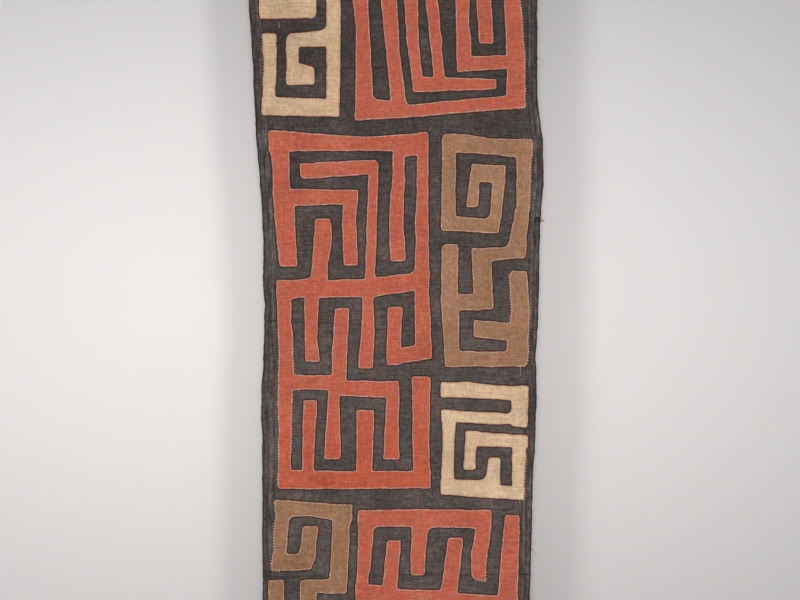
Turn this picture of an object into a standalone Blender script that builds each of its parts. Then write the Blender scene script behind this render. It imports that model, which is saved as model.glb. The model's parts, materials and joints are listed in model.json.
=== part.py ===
"""Kuba raffia cloth, hung by its top edge.

Four woven panels are sewn end to end, each with a narrow woven strip down either side,
and seven cut motifs of flat bars are sewn on the front.

The origin is the middle of the top edge, +Z is up and the front faces -Y. Sizes below are
millimetres. A drop is measured down from the top edge, and +X is to the right of the front.
"""

import math

import bmesh
import bpy

MM = 0.001

# Thickness of each layer, and the gap between neighbouring pieces
PANEL_THICKNESS = 1.2
STRIP_THICKNESS = 2.2
MOTIF_THICKNESS = 1.0
GAP = 0.3

# The sheet that every piece is cut from is a net of flat facets
LENGTH = 2200.0
NET_WIDTH = 684.0
NET_LENGTH = 2208.0
NET_COLUMNS = 9
NET_ROWS = 24

# Width of the woven strips down the sides
LEFT_STRIP = 26.0
RIGHT_STRIP = 21.0

# Within about this drop the held top edge keeps the cloth straight
HELD_STRAIGHT = 220.0

# Outline of the whole cloth: drop, left edge, right edge
EDGES = (
    (0, -312, 312),
    (165, -316, 314),
    (316, -316, 313),
    (403, -312, 314),
    (533, -303, 313),
    (619, -300, 315),
    (706, -295, 326),
    (793, -288, 328),
    (879, -282, 320),
    (966, -279, 318),
    (1009, -284, 317),
    (1053, -278, 316),
    (1096, -279, 314),
    (1183, -280, 308),
    (1248, -286, 312),
    (1313, -286, 309),
    (1356, -282, 308),
    (1443, -284, 303),
    (1529, -282, 301),
    (1702, -282, 297),
    (1832, -284, 301),
    (1962, -279, 299),
    (2092, -284, 295),
    (2201, -282, 297),
)

# Lines where the panels end or are sewn together: drop at X -300, drop at X +300
SEAMS = (
    (0, 0),
    (551, 547),
    (1097, 1117),
    (1653, 1647),
    (2200, 2196),
)
SEAM_REACH = 300.0

# Soft ridges and troughs: x, drop, half width, half height, lean in x for each unit of drop, depth
# A negative depth is a ridge towards the front
FOLDS = (
    (-215, 520, 120, 520, 0.06, -7.0),
    (20, 900, 130, 620, -0.05, 5.5),
    (285, 760, 105, 270, 0.10, 8.0),
    (150, 330, 120, 240, -0.08, -5.0),
    (-285, 1130, 95, 230, 0.04, 6.0),
    (-120, 1480, 125, 430, 0.05, -6.0),
    (250, 1330, 110, 330, -0.06, -5.5),
    (110, 1800, 120, 330, 0.04, 6.5),
    (-250, 2080, 115, 280, 0.05, 7.0),
    (-40, 2150, 110, 230, 0.00, -6.5),
    (260, 2130, 105, 260, -0.05, -7.5),
)

# Bars that lie across have the columns
# left, right, top at left, bottom at left, top at right, bottom at right
# Bars that run down have the columns
# top, bottom, left at top, right at top, left at bottom, right at bottom
CREAM_TOP = {
    "across": (
        (-292, -117, 54, 89, 52, 87),
        (-221, -141, 147, 180, 149, 182),
        (-290, -175, 219, 253, 221, 253),
        (-221, -141, 292, 325, 295, 327),
        (-288, -166, 368, 445, 366, 444),
        (-230, -141, 479, 506, 469, 504),
        (-230, -170, 536, 588, 550, 587),
        (-284, -117, 614, 653, 619, 656),
    ),
    "down": (
        (52, 468, -143, -117, -144, -113),
        (468, 655, -144, -113, -143, -116),
        (54, 435, -292, -258, -289, -256),
        (477, 544, -283, -251, -279, -252),
        (544, 653, -279, -252, -284, -257),
        (479, 588, -230, -204, -230, -204),
    ),
}

RED_TOP = {
    "across": (
        (-89, 277, 54, 91, 52, 89),
        (-82, 15, 617, 663, 621, 658),
        (15, 288, 631, 658, 606, 635),
        (43, 225, 569, 602, 573, 595),
        (139, 249, 526, 559, 522, 550),
    ),
    "down": (
        (54, 403, -89, -56, -87, -54),
        (403, 533, -87, -54, -80, -48),
        (533, 661, -80, -48, -82, -40),
        (132, 403, -28, 4, -26, 9),
        (403, 511, -26, 9, -15, 14),
        (511, 637, -15, 14, -3, 30),
        (54, 403, 22, 52, 24, 54),
        (403, 500, 24, 54, 31, 56),
        (500, 598, 31, 56, 44, 67),
        (128, 403, 71, 102, 71, 97),
        (403, 576, 71, 97, 89, 112),
        (134, 557, 128, 158, 139, 171),
        (54, 403, 176, 207, 180, 212),
        (403, 497, 180, 212, 188, 218),
        (54, 403, 238, 277, 240, 277),
        (403, 533, 240, 277, 247, 288),
        (533, 635, 247, 288, 247, 288),
    ),
}

RED_MIDDLE = {
    "across": (
        (-269, -63, 687, 732, 699, 729),
        (-63, 76, 699, 729, 690, 728),
        (22, 58, 725, 741, 725, 738),
        (-258, -76, 812, 851, 814, 845),
        (-201, -32, 758, 792, 748, 778),
        (-253, -142, 1010, 1048, 1007, 1047),
        (-142, -50, 1010, 1047, 1007, 1046),
        (-50, 80, 1005, 1047, 990, 1027),
        (-14, 84, 1163, 1195, 1144, 1179),
        (-249, -115, 1215, 1247, 1216, 1248),
        (-134, 13, 1226, 1258, 1230, 1266),
        (-249, 81, 1421, 1461, 1424, 1461),
    ),
    "down": (
        (687, 847, -269, -226, -259, -221),
        (836, 980, -259, -214, -246, -207),
        (814, 884, -106, -76, -110, -80),
        (884, 978, -110, -80, -107, -76),
        (749, 1014, -52, -31, -61, -39),
        (728, 890, 0, 26, -9, 22),
        (890, 968, -9, 22, -6, 28),
        (689, 999, 54, 76, 47, 78),
        (999, 1180, 47, 78, 48, 84),
        (877, 923, -168, -136, -171, -132),
        (923, 1016, -171, -132, -178, -142),
        (1009, 1139, -252, -221, -249, -217),
        (1139, 1226, -249, -217, -249, -214),
        (1226, 1460, -249, -217, -249, -222),
        (1046, 1118, -191, -160, -191, -165),
        (1118, 1186, -191, -165, -190, -158),
        (1070, 1230, -126, -95, -134, -101),
        (1044, 1118, -65, -43, -69, -40),
        (1118, 1201, -69, -40, -75, -43),
        (1068, 1193, -11, 21, -14, 15),
        (1228, 1398, -13, 13, -21, 13),
        (1243, 1397, -139, -116, -149, -113),
        (1269, 1425, -194, -164, -196, -172),
        (1291, 1425, -79, -41, -79, -44),
        (1219, 1356, 41, 82, 43, 78),
        (1356, 1460, 43, 78, 44, 81),
    ),
}

TAN_MIDDLE = {
    "across": (
        (106, 167, 690, 732, 695, 733),
        (167, 210, 696, 733, 702, 737),
        (210, 303, 702, 737, 704, 745),
        (105, 230, 870, 900, 878, 909),
        (170, 244, 757, 796, 762, 799),
        (171, 288, 940, 973, 938, 960),
        (106, 217, 1040, 1077, 1040, 1071),
        (112, 291, 1163, 1196, 1165, 1197),
        (175, 256, 1095, 1132, 1104, 1141),
    ),
    "down": (
        (691, 903, 107, 136, 105, 136),
        (760, 847, 216, 244, 213, 238),
        (847, 905, 213, 238, 206, 230),
        (758, 851, 171, 188, 159, 186),
        (704, 847, 269, 302, 268, 297),
        (847, 962, 268, 297, 245, 288),
        (940, 1072, 171, 212, 175, 217),
        (931, 1053, 106, 142, 104, 140),
        (1053, 1198, 104, 143, 113, 143),
        (990, 1074, 251, 290, 256, 296),
        (1074, 1139, 256, 296, 251, 293),
        (1139, 1196, 246, 293, 245, 291),
    ),
}

CREAM_MIDDLE = {
    "across": (
        (104, 167, 1231, 1263, 1230, 1264),
        (167, 221, 1231, 1264, 1237, 1267),
        (221, 293, 1237, 1267, 1241, 1271),
        (105, 200, 1291, 1315, 1296, 1320),
        (200, 290, 1296, 1320, 1300, 1326),
        (103, 200, 1442, 1474, 1443, 1480),
        (200, 284, 1452, 1480, 1458, 1486),
        (157, 292, 1335, 1367, 1347, 1373),
    ),
    "down": (
        (1239, 1328, 258, 293, 256, 290),
        (1291, 1356, 106, 140, 108, 133),
        (1356, 1473, 108, 133, 103, 131),
        (1345, 1484, 257, 289, 258, 281),
        (1336, 1419, 159, 184, 153, 179),
        (1394, 1458, 208, 232, 197, 232),
    ),
}

TAN_LOW = {
    "across": (
        (-257, -88, 1485, 1518, 1496, 1530),
        (-263, -178, 1600, 1639, 1606, 1636),
        (-201, -102, 1659, 1685, 1655, 1688),
        (-269, -165, 1761, 1796, 1757, 1791),
        (-232, -102, 1850, 1884, 1856, 1891),
        (-269, -134, 1943, 1978, 1936, 1971),
        (-232, -97, 2025, 2060, 2030, 2064),
        (-271, -95, 2114, 2149, 2112, 2147),
    ),
    "down": (
        (1486, 1637, -253, -221, -263, -234),
        (1542, 1605, -194, -162, -203, -167),
        (1605, 1636, -206, -167, -208, -177),
        (1495, 1573, -130, -87, -132, -94),
        (1573, 1686, -132, -94, -139, -100),
        (1659, 1791, -201, -164, -201, -167),
        (1659, 2149, -270, -236, -269, -234),
        (1728, 2147, -136, -100, -130, -95),
    ),
}

RED_LOW = {
    "across": (
        (-76, 67, 1507, 1542, 1507, 1545),
        (67, 213, 1507, 1545, 1507, 1548),
        (-81, 11, 1666, 1707, 1674, 1711),
        (11, 125, 1679, 1711, 1684, 1717),
        (125, 271, 1687, 1717, 1697, 1726),
        (-80, 201, 1919, 1956, 1928, 1962),
        (-78, 269, 2112, 2149, 2110, 2147),
    ),
    "down": (
        (1508, 1583, -76, -39, -75, -44),
        (1583, 1681, -75, -44, -80, -54),
        (1681, 2149, -80, -50, -78, -45),
        (1573, 1685, -12, 18, -24, 8),
        (1542, 1650, 41, 76, 38, 68),
        (1568, 1700, 120, 153, 101, 138),
        (1544, 1594, 180, 213, 171, 207),
        (1594, 1660, 170, 205, 169, 200),
        (1518, 1594, 243, 274, 235, 273),
        (1594, 1702, 235, 273, 227, 269),
        (1702, 2147, 227, 269, 232, 269),
        (1702, 1876, -19, 13, -17, 15),
        (1702, 1880, 104, 136, 106, 139),
        (1767, 1930, 43, 76, 41, 74),
        (1772, 1936, 167, 199, 169, 201),
        (1952, 2069, -19, 13, -15, 17),
        (1954, 2066, 106, 139, 104, 136),
        (2004, 2118, 43, 76, 45, 78),
        (2006, 2118, 165, 197, 167, 199),
    ),
}

# Colour in linear values and roughness of each cloth
CLOTHS = {
    "charcoal_raffia": ((0.060, 0.054, 0.054), 0.90),
    "charcoal_strip": ((0.045, 0.041, 0.041), 0.92),
    "terracotta_raffia": ((0.520, 0.120, 0.070), 0.88),
    "tan_raffia": ((0.350, 0.200, 0.115), 0.88),
    "cream_raffia": ((0.650, 0.450, 0.270), 0.88),
}

# Name of each sewn-on motif, its bars and its cloth
MOTIFS = (
    ("motif_cream_top", CREAM_TOP, "cream_raffia"),
    ("motif_red_top", RED_TOP, "terracotta_raffia"),
    ("motif_red_middle", RED_MIDDLE, "terracotta_raffia"),
    ("motif_tan_middle", TAN_MIDDLE, "tan_raffia"),
    ("motif_cream_middle", CREAM_MIDDLE, "cream_raffia"),
    ("motif_tan_low", TAN_LOW, "tan_raffia"),
    ("motif_red_low", RED_LOW, "terracotta_raffia"),
)


def clear_scene():
    for old in list(bpy.data.objects):
        bpy.data.objects.remove(old, do_unlink=True)


def new_collection(name):
    group = bpy.data.collections.new(name)
    bpy.context.scene.collection.children.link(group)
    return group


def cloth_material(name):
    colour, roughness = CLOTHS[name]
    material = bpy.data.materials.new(name)
    material.use_nodes = True
    shader = material.node_tree.nodes["Principled BSDF"]
    shader.inputs["Base Color"].default_value = (*colour, 1.0)
    shader.inputs["Roughness"].default_value = roughness
    shader.inputs["Metallic"].default_value = 0.0
    return material


def fold_depth(x, drop):
    """How far the cloth's front lies behind its top edge, growing from nothing at that edge."""
    depth = 0.0
    for fold_x, fold_drop, half_width, half_height, lean, height in FOLDS:
        down = drop - fold_drop
        aside = x - fold_x - lean * down
        depth += height * math.exp(-((aside / half_width) ** 2) - (down / half_height) ** 2)
    return depth * (1.0 - math.exp(-((drop / HELD_STRAIGHT) ** 2)))


def hung_layer(name, front, back):
    """One layer of the hanging cloth as a closed sheet of flat facets, from front to back."""
    bm = bmesh.new()
    bmesh.ops.create_grid(bm, x_segments=NET_COLUMNS, y_segments=NET_ROWS, size=0.5)
    bmesh.ops.triangulate(bm, faces=bm.faces[:], quad_method="FIXED")
    for vert in bm.verts:
        x = vert.co.x * NET_WIDTH
        drop = 0.5 * LENGTH - vert.co.y * NET_LENGTH
        vert.co = (x * MM, (fold_depth(x, drop) + front) * MM, -drop * MM)
    faces = bm.faces[:]
    grown = bmesh.ops.extrude_face_region(bm, geom=faces, use_keep_orig=True)
    behind = [item for item in grown["geom"] if isinstance(item, bmesh.types.BMVert)]
    bmesh.ops.translate(bm, verts=behind, vec=(0.0, (back - front) * MM, 0.0))
    bmesh.ops.recalc_face_normals(bm, faces=bm.faces[:])
    mesh = bpy.data.meshes.new(name)
    bm.to_mesh(mesh)
    bm.free()
    return mesh


def add_cutter(name, mesh, group):
    cutter = bpy.data.objects.new(name, mesh)
    cutter.hide_render = True
    cutter.display_type = "WIRE"
    group.objects.link(cutter)
    return cutter


def outline_cutter(name, outline, group):
    """A deep prism on a flat outline of (x, drop) points."""
    curve = bpy.data.curves.new(name, "CURVE")
    curve.dimensions = "2D"
    curve.fill_mode = "BOTH"
    curve.extrude = 30.0 * MM
    spline = curve.splines.new("POLY")
    spline.points.add(len(outline) - 1)
    for point, (x, drop) in zip(spline.points, outline):
        point.co = (x * MM, -drop * MM, 0.0, 1.0)
    spline.use_cyclic_u = True
    drawn = bpy.data.objects.new(name + "_outline", curve)
    drawn.rotation_euler.x = math.radians(90.0)
    group.objects.link(drawn)
    bpy.context.view_layer.update()
    mesh = bpy.data.meshes.new_from_object(drawn.evaluated_get(bpy.context.evaluated_depsgraph_get()))
    mesh.transform(drawn.matrix_world)
    bpy.data.objects.remove(drawn, do_unlink=True)
    bpy.data.curves.remove(curve)
    bm = bmesh.new()
    bm.from_mesh(mesh)
    bmesh.ops.remove_doubles(bm, verts=bm.verts[:], dist=0.00001)
    bmesh.ops.recalc_face_normals(bm, faces=bm.faces[:])
    bm.to_mesh(mesh)
    bm.free()
    return add_cutter(name, mesh, group)


def bar_corners(bar, lies_across):
    """Corners of a bar by side: (is right, is top) gives its x and drop."""
    if lies_across:
        left, right, top_left, bottom_left, top_right, bottom_right = bar
        return {
            (False, True): (left, top_left),
            (False, False): (left, bottom_left),
            (True, True): (right, top_right),
            (True, False): (right, bottom_right),
        }
    top, bottom, left_top, right_top, left_bottom, right_bottom = bar
    return {
        (False, True): (left_top, top),
        (True, True): (right_top, top),
        (False, False): (left_bottom, bottom),
        (True, False): (right_bottom, bottom),
    }


def add_bar(bm, corners, depth):
    """One deep block whose front and back have the bar's four corners."""
    block = bmesh.ops.create_cube(bm, size=1.0)
    for vert in block["verts"]:
        x, drop = corners[(vert.co.x > 0.0, vert.co.z > 0.0)]
        vert.co = (x * MM, math.copysign(depth * MM, vert.co.y), -drop * MM)


def motif_cutter(name, bars, group):
    """All bars of a motif as deep blocks that run into each other."""
    bm = bmesh.new()
    placed = [(bar, True) for bar in bars["across"]] + [(bar, False) for bar in bars["down"]]
    for number, (bar, lies_across) in enumerate(placed):
        add_bar(bm, bar_corners(bar, lies_across), 30.0 + 0.2 * number)
    mesh = bpy.data.meshes.new(name)
    bm.to_mesh(mesh)
    bm.free()
    return add_cutter(name, mesh, group)


def cut_piece(name, layer, cutter, material, group):
    """The part of a hung layer that lies inside a cutter."""
    piece = bpy.data.objects.new(name, layer.copy())
    piece.data.name = name
    piece.data.materials.append(material)
    group.objects.link(piece)
    cut = piece.modifiers.new("cut_to_shape", "BOOLEAN")
    cut.operation = "INTERSECT"
    cut.solver = "EXACT"
    cut.use_self = True
    cut.object = cutter
    return piece


def edge_at(side, drop):
    """X of the cloth's left (1) or right (2) edge at a drop."""
    for upper, lower in zip(EDGES, EDGES[1:]):
        if drop <= lower[0]:
            share = (drop - upper[0]) / (lower[0] - upper[0])
            return upper[side] + share * (lower[side] - upper[side])
    return EDGES[-1][side]


def seam_drop(seam, x):
    left, right = SEAMS[seam]
    return left + (right - left) * (x + SEAM_REACH) / (2.0 * SEAM_REACH)


def side_line(side, inset, panel):
    """Points down one side of a panel, a given distance in from the cloth's edge."""
    line = []
    for seam, margin in ((panel, 0.5 * GAP), (panel + 1, -0.5 * GAP)):
        x = edge_at(side, SEAMS[seam][side - 1]) + inset
        drop = seam_drop(seam, x) + margin
        line.append((edge_at(side, drop) + inset, drop))
    top, bottom = line
    between = [(row[side] + inset, row[0]) for row in EDGES if top[1] < row[0] < bottom[1]]
    return [top] + between + [bottom]


def panel_outlines(panel):
    """Outlines of a panel, its left strip and its right strip."""
    left_in = LEFT_STRIP
    right_in = -RIGHT_STRIP
    body = side_line(1, left_in + 0.5 * GAP, panel) + side_line(2, right_in - 0.5 * GAP, panel)[::-1]
    left = side_line(1, 0.0, panel) + side_line(1, left_in - 0.5 * GAP, panel)[::-1]
    right = side_line(2, right_in + 0.5 * GAP, panel) + side_line(2, 0.0, panel)[::-1]
    return body, left, right


def build():
    clear_scene()
    cloth = new_collection("kuba_raffia_cloth")
    cutters = new_collection("cutters")
    materials = {name: cloth_material(name) for name in CLOTHS}

    panel_layer = hung_layer("panel_layer", 0.0, PANEL_THICKNESS)
    strip_layer = hung_layer("strip_layer", 0.0, STRIP_THICKNESS)
    motif_layer = hung_layer("motif_layer", -GAP - MOTIF_THICKNESS, -GAP)

    for panel in range(len(SEAMS) - 1):
        name = "panel_%d" % (panel + 1)
        body, left, right = panel_outlines(panel)
        pieces = (
            (name, body, panel_layer, "charcoal_raffia"),
            (name + "_left_strip", left, strip_layer, "charcoal_strip"),
            (name + "_right_strip", right, strip_layer, "charcoal_strip"),
        )
        for node, outline, layer, material in pieces:
            cutter = outline_cutter(node + "_cutter", outline, cutters)
            cut_piece(node, layer, cutter, materials[material], cloth)

    for node, bars, material in MOTIFS:
        cutter = motif_cutter(node + "_cutter", bars, cutters)
        cut_piece(node, motif_layer, cutter, materials[material], cloth)

    for layer in (panel_layer, strip_layer, motif_layer):
        bpy.data.meshes.remove(layer)


build()
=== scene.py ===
"""Looks of a kuba raffia cloth, hung by its top edge, front towards -Y and +Z up.

Tables are in millimetres. A drop is measured down from the top edge, and +X is to the right of the front.
"""

import json
import math
from collections import defaultdict

import bpy
import numpy as np
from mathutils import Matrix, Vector, kdtree, noise
from mathutils.geometry import delaunay_2d_cdt


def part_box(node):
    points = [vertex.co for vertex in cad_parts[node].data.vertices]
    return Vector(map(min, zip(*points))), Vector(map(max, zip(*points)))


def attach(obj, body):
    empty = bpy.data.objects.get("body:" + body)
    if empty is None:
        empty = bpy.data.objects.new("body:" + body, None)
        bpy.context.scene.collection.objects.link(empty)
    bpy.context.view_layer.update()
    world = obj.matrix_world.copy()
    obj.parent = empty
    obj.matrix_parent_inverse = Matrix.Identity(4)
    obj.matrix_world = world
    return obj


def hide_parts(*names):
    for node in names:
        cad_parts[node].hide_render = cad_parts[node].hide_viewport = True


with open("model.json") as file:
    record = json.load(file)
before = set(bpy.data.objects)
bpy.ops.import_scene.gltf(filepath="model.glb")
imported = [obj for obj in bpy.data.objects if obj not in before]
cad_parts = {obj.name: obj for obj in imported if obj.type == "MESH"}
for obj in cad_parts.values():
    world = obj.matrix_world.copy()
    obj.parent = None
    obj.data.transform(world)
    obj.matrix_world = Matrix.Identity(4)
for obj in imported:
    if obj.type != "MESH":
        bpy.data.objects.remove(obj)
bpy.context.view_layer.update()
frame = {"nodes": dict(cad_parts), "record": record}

bl_info = {
    "name": "Kuba Raffia Cloth",
    "version": (1, 0, 0),
    "blender": (4, 5, 0),
    "location": "View3D > Sidebar > Raffia Cloth",
    "description": "Builds a hanging raffia cloth with sewn-on meander motifs",
    "category": "Object",
}

MM = 0.001
EVEN = (1.0, 1.0, 1.0)

# Layers in front of (negative) or behind the ground's front
PANEL_BACK = 1.2
STRIP_BACK = 2.2
MOTIF_BACK = -0.15
# How a motif rises from its skirt, a sheet round its edge that carries painted shade, to its face: distance
# inside its outline, depth
MOTIF_RISE = ((-3.3, -0.25), (0.0, -0.80), (2.4, -1.45), (7.5, -1.25))
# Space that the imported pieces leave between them
GAP = 0.3
# How far a turned edge lies inside its packed outline
TURN_IN = 0.5
# From a strip's outer edge to the crease that the turned hem leaves
HEM_CREASE = 12.0
# The roll of a hem in metres: how far in its middle lies, and half its width
HEM_ROLL = (0.0024, 0.0026)
# The tucks that the hem leaves in metres: depth, how far in each lies, half its width
HEM_TUCKS = ((0.0005, 0.0062, 0.0012), (0.0004, HEM_CREASE * MM, 0.0016))

# Sides of panels and strips: how far each wanders in metres, and the seed of its wandering
LEFT_SEAM = (0.0006, 1.5)
RIGHT_SEAM = (0.0006, 2.5)
LEFT_HEM = (0.0016, 11.5)
RIGHT_HEM = (0.0016, 12.5)
# Easing of a side, in points: reach and softness of the average, and the ends that stay as they are
EASE_REACH = 12
EASE_SOFTNESS = 3.6
EASE_ENDS = 8.0

# Nets of points: the width and height that a panel's rows and columns are counted on, a strip's columns
PANEL_WIDTH = 600.0
PANEL_HEIGHT = 550.0
STRIP_COLUMNS = 15
# A motif's face in metres: spacing of its points, how far they stray, the margin that they keep from
# the edge, and how near two points count as one
FACE_GRID = 0.0058
FACE_JITTER = 0.0006
FACE_MARGIN = 0.0048
SAME_PLACE = 0.00001

# Soft ridges and troughs: x, drop, half width, half height, lean in x for each unit of drop, depth
FOLDS = (
    (-215, 520, 120, 520, 0.06, -7.0),
    (20, 900, 130, 620, -0.05, 5.5),
    (285, 760, 105, 270, 0.10, 8.0),
    (150, 330, 120, 240, -0.08, -5.0),
    (-285, 1130, 95, 230, 0.04, 6.0),
    (-120, 1480, 125, 430, 0.05, -6.0),
    (250, 1330, 110, 330, -0.06, -5.5),
    (110, 1800, 120, 330, 0.04, 6.5),
    (-250, 2080, 115, 280, 0.05, 7.0),
    (-40, 2150, 110, 230, 0.00, -6.5),
    (260, 2130, 105, 260, -0.05, -7.5),
)
# The drop within which the held top edge keeps the cloth straight
HELD_STRAIGHT = 220.0

# Gathered places: x, drop, half width, half height, pitch of the little pleats, depth
PUCKERS = (
    (268, 652, 48, 34, 15, 1.0),
    (-262, 668, 40, 26, 17, 0.6),
    (92, 1090, 30, 60, 14, 0.7),
    (150, 1215, 60, 24, 18, 0.7),
    (-150, 1478, 90, 20, 16, 0.5),
    (210, 1497, 70, 22, 15, 0.8),
    (-205, 1648, 40, 26, 13, 0.7),
)

# Lines where two panels are sewn together: drop at X -300, drop at X +300
SEAMS = ((551, 547), (1097, 1117), (1653, 1647))
SEAM_REACH = 300.0
# A seam's groove: depth and half width. Its little gathers: depth, half width and pitch
SEAM_GROOVE = (0.4, 3.0)
SEAM_GATHERS = (0.3, 16.0, 21.0)

# Corners that were cut rounder than the rest: x, drop, reach
ROUND_CORNERS = (
    (41, 992, 20),
    (-182, 1005, 16),
    (-41, 615, 18),
    (30, 624, 16),
    (206, 871, 22),
    (251, 990, 18),
    (106, 934, 18),
    (106, 693, 18),
    (290, 1194, 16),
    (249, 931, 18),
    (-167, 438, 20),
    (-145, 466, 18),
    (-230, 477, 16),
    (251, 1295, 18),
    (-223, 1527, 18),
    (-204, 1598, 18),
    (-39, 1547, 18),
    (78, 1549, 16),
    (-33, 754, 20),
    (-197, 788, 16),
    (195, 1445, 16),
    (151, 1582, 14),
    (-8, 1553, 14),
    (172, 1655, 11),
)

# Places where the scissors strayed: x, drop, half width, half height, shift in x, shift in drop
STRAYS = (
    (-264, 775, 14, 42, 3.4, 0.0),
    (-84, 466, 12, 34, 3.4, 0.0),
    (-250, 1184, 12, 26, 3.0, 0.0),
    (-222, 1096, 12, 20, -2.6, 0.0),
    (-3, 783, 10, 24, 2.6, 0.0),
    (-141, 976, 12, 20, -3.6, 0.0),
    (253, 1326, 20, 10, 0.0, -3.6),
    (180, 1385, 10, 22, -2.6, 0.0),
    (165, 446, 10, 34, -3.6, 0.0),
    (78, 1024, 12, 20, -2.6, 0.0),
    (-178, 1523, 22, 10, 0.0, -3.8),
    (-184, 1245, 16, 8, 0.0, -2.6),
    (-262, 1601, 10, 14, 2.6, 0.0),
    (-54, 1653, 10, 14, -2.6, 0.0),
    (282, 520, 12, 95, -1.6, 0.0),
    (288, 914, 10, 14, -2.6, 0.0),
    (186, 1072, 14, 8, 0.0, 3.2),
    (104, 492, 8, 12, 2.6, 0.0),
    (24, 795, 8, 16, 2.4, 0.0),
    (-165, 1118, 8, 10, 2.6, 0.0),
    (-217, 1048, 10, 8, 0.0, 2.6),
    (-41, 1410, 12, 18, -2.6, 1.5),
    (-248, 1338, 10, 14, 2.2, 0.0),
    (-256, 1517, 10, 14, 2.4, 0.0),
    (-94, 1552, 10, 14, -2.2, 0.0),
    (46, 888, 8, 22, -2.4, 0.0),
    (172, 1656, 14, 10, 0.0, -3.0),
    (198, 1657, 12, 10, 0.0, 3.5),
)

# Stretches where a motif's edge is whipped down with open stitches: motif, x from, x to, drop from, drop to
WHIPPED = (
    ("motif_red_middle", -262, -240, 1115, 1455),
    ("motif_red_middle", -226, -204, 1150, 1385),
    ("motif_red_top", 270, 300, 400, 640),
    ("motif_tan_middle", 284, 312, 690, 860),
    ("motif_tan_middle", 240, 262, 985, 1110),
    ("motif_tan_middle", 282, 306, 1060, 1190),
    ("motif_cream_middle", 276, 300, 1390, 1480),
    ("motif_tan_low", -275, -245, 1490, 1640),
    ("motif_cream_top", -294, -270, 470, 600),
    ("motif_red_low", 180, 215, 1640, 1668),
)

# Small darned places on the motifs: x, drop, length down, number of stitches
MENDS = ((-61, 1036, 10, 5), (11, 1158, 16, 6), (-178, 1062, 9, 4), (72, 1104, 8, 3))

# Rows of stray ticks, of pale and of rusty thread: x and drop of the points that each row runs through
TICK_ROWS = (
    ((288, 1386), (286, 1430), (283, 1466), (284, 1484)),
    ((249, 1488), (266, 1489), (282, 1486)),
    ((298, 1052), (297, 1090), (293, 1126)),
)
RUST_ROWS = (
    ((288, 1502), (289, 1530), (290, 1560), (289, 1584)),
    ((296, 1604), (297, 1640)),
)

# Loose ends of thread: pale or dark, radius, then x and drop of the points that it runs through
LOOSE_THREADS = (
    ("pale", 0.5, ((277, 1193), (276, 1198), (275, 1206), (275, 1216))),
    ("pale", 0.5, ((-246, 466), (-245, 458), (-248, 452))),
    ("dark", 1.9, ((308, 886), (308, 878), (312, 873), (317, 875), (320, 881), (324, 883), (328, 879))),
    ("dark", 1.1, ((311, 884), (316, 878), (324, 875))),
    ("dark", 0.4, ((298, 1590), (305, 1597), (308, 1606))),
    ("dark", 0.4, ((309, 524), (318, 530), (328, 541))),
)

# Stitches: thread, slot, seed, height off the ground, pitch, length, width, height,
# slant and looseness in radians
STITCHES = {
    "panel_seams": ("seam_thread", "strip", 101, 0.0, 4.2, 4.6, 1.3, 0.9, 1.0, 0.35),
    "strip_seams": ("dark_thread", "strip", 102, 0.1, 5.0, 4.8, 1.1, 0.8, 0.5, 0.3),
    "hem_stitches": ("dark_thread", "strip", 103, 1.35, 6.2, 5.8, 1.3, 1.0, 1.05, 0.25),
    "end_stitches": ("dark_thread", "strip", 104, 0.05, 9.5, 5.5, 1.2, 0.8, 0.1, 0.15),
    "mends": ("red_thread", "terracotta", 105, 0.3, 2.8, 5.5, 1.7, 1.2, 1.4, 0.3),
    "strip_joins": ("dark_thread", "strip", 106, 0.4, 2.6, 4.2, 1.5, 1.0, 0.2, 0.5),
    "stray_ticks": ("cream_thread", "cream", 107, 0.4, 7.5, 3.4, 1.5, 1.0, 0.9, 0.7),
    "rust_ticks": ("rust_thread", "terracotta", 108, 0.4, 8.5, 5.0, 1.6, 0.9, 0.3, 0.5),
}
# The edging's height, slant and looseness, and all of the whipping's sizes from its pitch on
EDGING = (1.1, 0.38, 0.22)
WHIPPING = (6.2, 6.6, 1.5, 1.0, 1.35, 0.25)
# Heights off the ground, and distances outwards from the outline in metres
EDGING_LIFT = 1.25
EDGING_OUT = -0.0006
WHIPPING_LIFT = 0.75
WHIPPING_OUT = 0.0012

# The two rows of stitches along the cloth's ends: half their width, and their drops
END_HALF_WIDTH = 286.0
END_DROPS = (8.5, 2189.5)

# Noises of the finishes: features for each metre along x, y and z, detail, roughness
NOISES = {
    "waver": (60.0, 60.0, 60.0, 3.0, 0.55),
    "threads down": (700.0, 40.0, 22.0, 2.0, 0.55),
    "threads across": (22.0, 40.0, 700.0, 2.0, 0.55),
    "ribs across": (20.0, 20.0, 230.0, 5.0, 0.65),
    "ribs down": (210.0, 20.0, 18.0, 5.0, 0.65),
    "flecks": (130.0, 80.0, 380.0, 2.0, 0.5),
    "slubs across": (110.0, 90.0, 330.0, 3.0, 0.7),
    "slubs down": (330.0, 90.0, 110.0, 3.0, 0.7),
    "broad dye": (11.0, 9.0, 9.0, 3.0, 0.5),
    "small dye": (75.0, 60.0, 60.0, 3.0, 0.6),
    "warm dye": (48.0, 50.0, 40.0, 2.0, 0.55),
    "green dye": (38.0, 60.0, 52.0, 2.0, 0.55),
    "twist": (900.0, 900.0, 900.0, 2.0, 0.55),
    "soil": (30.0, 30.0, 30.0, 3.0, 0.55),
    "bleached": (70.0, 70.0, 70.0, 2.0, 0.55),
    "paint": (1.3, 1.3, 1.3, 2.0, 0.55),
}
# How far a dye drifts towards red and away from blue, and towards green
WARM_DRIFT = (0.055, 0.0, -0.10)
GREEN_DRIFT = (-0.035, 0.05, -0.02)
# Heights in metres where the middle red motif's deeper dye starts, is full and ends, and its colour
DEEP_RED = (-1.18, -1.42, -1.495)
DEEP_RED_TINT = (1.0, 0.85, 0.75, 1.0)

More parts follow.
